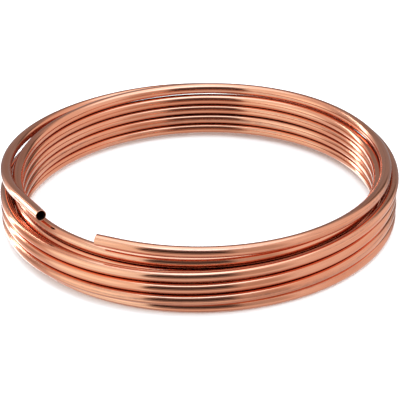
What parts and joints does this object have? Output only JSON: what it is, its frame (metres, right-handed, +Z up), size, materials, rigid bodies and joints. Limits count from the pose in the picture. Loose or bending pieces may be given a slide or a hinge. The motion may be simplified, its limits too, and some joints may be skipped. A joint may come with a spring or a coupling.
{
  "type": "copper tube coil",
  "caption": "Continuous soft round copper tube wound into a short two-layer coil with open, square-cut ends and a clear round middle.",
  "frame": {"origin": "middle of the coil's footprint on the floor it lies on", "axes": "+Z up along the axis the tube is wound around; -Y towards the side where the inner end of the tube stops"},
  "size_m": [0.4302, 0.4362, 0.0792],
  "materials": {
    "copper": "bright drawn copper"
  },
  "bodies": {
    "root": {"copper_tube": "copper"}
  },
  "joints": []
}
